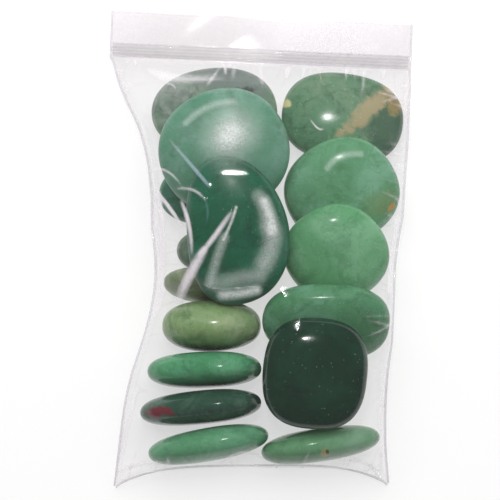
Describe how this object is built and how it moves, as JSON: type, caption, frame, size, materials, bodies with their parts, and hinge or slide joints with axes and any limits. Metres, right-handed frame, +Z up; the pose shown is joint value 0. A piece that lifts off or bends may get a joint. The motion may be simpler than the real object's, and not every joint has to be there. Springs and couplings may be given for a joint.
{
  "type": "bag of polished massage stones",
  "caption": "Clear press-to-close bag lying on its back, filled with loose polished green massage stones, with a ribbed zip and two lips at its mouth.",
  "frame": {"origin": "on the surface that the bag lies on, under the middle of its outline", "axes": "+Y towards the mouth, along the bag; +X to the right seen from above with the mouth away from the viewer; +Z up, through the front film"},
  "size_m": [0.1504, 0.238, 0.0564],
  "materials": {
    "clear_film": "gloss",
    "welded_film": "satin",
    "zip_plastic": "satin",
    "stone_centre_kidney": "polished",
    "stone_dark_square": "polished",
    "stone_right_leaning": "polished",
    "stone_upper_left_bright": "polished",
    "stone_mid_right_pale": "polished",
    "stone_edge_bottom_right": "polished",
    "stone_edge_mid_left": "polished",
    "stone_edge_red_patch": "polished",
    "stone_egg_yellow_green": "polished",
    "stone_edge_bottom_left": "polished",
    "stone_upper_right": "polished",
    "stone_left_olive": "polished",
    "stone_top_left_mottled": "polished",
    "stone_top_right_banded": "polished",
    "stone_left_dark": "polished",
    "stone_dark_under": "polished",
    "stone_left_grey_green": "polished"
  },
  "bodies": {
    "bag": {"front_film": "clear_film", "rear_film": "clear_film", "rear_lip": "clear_film", "zip_rib": "zip_plastic", "side_seal_left": "welded_film", "side_seal_right": "welded_film", "bottom_seam": "welded_film"},
    "front_lip": {"front_lip": "clear_film", "zip_channel": "zip_plastic"},
    "stone_centre_kidney": {"stone_centre_kidney": "stone_centre_kidney"},
    "stone_dark_square": {"stone_dark_square": "stone_dark_square"},
    "stone_right_leaning": {"stone_right_leaning": "stone_right_leaning"},
    "stone_upper_left_bright": {"stone_upper_left_bright": "stone_upper_left_bright"},
    "stone_mid_right_pale": {"stone_mid_right_pale": "stone_mid_right_pale"},
    "stone_edge_bottom_right": {"stone_edge_bottom_right": "stone_edge_bottom_right"},
    "stone_edge_mid_left": {"stone_edge_mid_left": "stone_edge_mid_left"},
    "stone_edge_red_patch": {"stone_edge_red_patch": "stone_edge_red_patch"},
    "stone_egg_yellow_green": {"stone_egg_yellow_green": "stone_egg_yellow_green"},
    "stone_edge_bottom_left": {"stone_edge_bottom_left": "stone_edge_bottom_left"},
    "stone_upper_right": {"stone_upper_right": "stone_upper_right"},
    "stone_left_olive": {"stone_left_olive": "stone_left_olive"},
    "stone_top_left_mottled": {"stone_top_left_mottled": "stone_top_left_mottled"},
    "stone_top_right_banded": {"stone_top_right_banded": "stone_top_right_banded"},
    "stone_left_dark": {"stone_left_dark": "stone_left_dark"},
    "stone_dark_under": {"stone_dark_under": "stone_dark_under"},
    "stone_left_grey_green": {"stone_left_grey_green": "stone_left_grey_green"}
  },
  "joints": [
    {"name": "front_lip_peel", "type": "hinge", "parent": "bag", "child": "front_lip", "pos_m": [0, 0.096, 0.01185], "axis": [1, 0, 0], "range_deg": [0, 70]},
    {"name": "centre_kidney_shift", "type": "slide", "parent": "bag", "child": "stone_centre_kidney", "axis": [0.9848, 0.17, 0.036], "range_m": [0, 0.004]},
    {"name": "dark_square_shift", "type": "slide", "parent": "bag", "child": "stone_dark_square", "axis": [-0.9994, 0.035, 0.005], "range_m": [0, 0.0055]},
    {"name": "right_leaning_shift", "type": "slide", "parent": "bag", "child": "stone_right_leaning", "axis": [0.5002, 0.6823, 0.5332], "range_m": [0, 0.0007]},
    {"name": "upper_left_bright_shift", "type": "slide", "parent": "bag", "child": "stone_upper_left_bright", "axis": [0.866, 0.5, 0], "range_m": [0, 0.0055]},
    {"name": "mid_right_pale_shift", "type": "slide", "parent": "bag", "child": "stone_mid_right_pale", "axis": [0.766, 0.596, 0.241], "range_m": [0, 0.0018]},
    {"name": "edge_bottom_right_shift", "type": "slide", "parent": "bag", "child": "stone_edge_bottom_right", "axis": [0.5, 0.866, 0], "range_m": [0, 0.0023]},
    {"name": "edge_mid_left_shift", "type": "slide", "parent": "bag", "child": "stone_edge_mid_left", "axis": [1, 0, 0], "range_m": [0, 0.0038]},
    {"name": "edge_red_patch_shift", "type": "slide", "parent": "bag", "child": "stone_edge_red_patch", "axis": [1, 0, 0], "range_m": [0, 0.0045]},
    {"name": "egg_yellow_green_shift", "type": "slide", "parent": "bag", "child": "stone_egg_yellow_green", "axis": [-0.9538, 0.038, 0.2979], "range_m": [0, 0.0031]},
    {"name": "edge_bottom_left_shift", "type": "slide", "parent": "bag", "child": "stone_edge_bottom_left", "axis": [-0.866, -0.5, 0], "range_m": [0, 0.0038]},
    {"name": "upper_right_shift", "type": "slide", "parent": "bag", "child": "stone_upper_right", "axis": [1, 0, 0], "range_m": [0, 0.0005]},
    {"name": "left_olive_shift", "type": "slide", "parent": "bag", "child": "stone_left_olive", "axis": [1, 0, 0], "range_m": [0, 0.0016]},
    {"name": "top_left_mottled_shift", "type": "slide", "parent": "bag", "child": "stone_top_left_mottled", "axis": [-1, 0, 0], "range_m": [0, 0.0038]},
    {"name": "top_right_banded_shift", "type": "slide", "parent": "bag", "child": "stone_top_right_banded", "axis": [-0.5, 0.866, 0], "range_m": [0, 0.0014]},
    {"name": "left_dark_shift", "type": "slide", "parent": "bag", "child": "stone_left_dark", "axis": [1, 0, 0], "range_m": [0, 0.0055]},
    {"name": "dark_under_shift", "type": "slide", "parent": "bag", "child": "stone_dark_under", "axis": [1, 0, 0], "range_m": [0, 0.0055]},
    {"name": "left_grey_green_shift", "type": "slide", "parent": "bag", "child": "stone_left_grey_green", "axis": [1, 0, 0], "range_m": [0, 0.0055]}
  ]
}
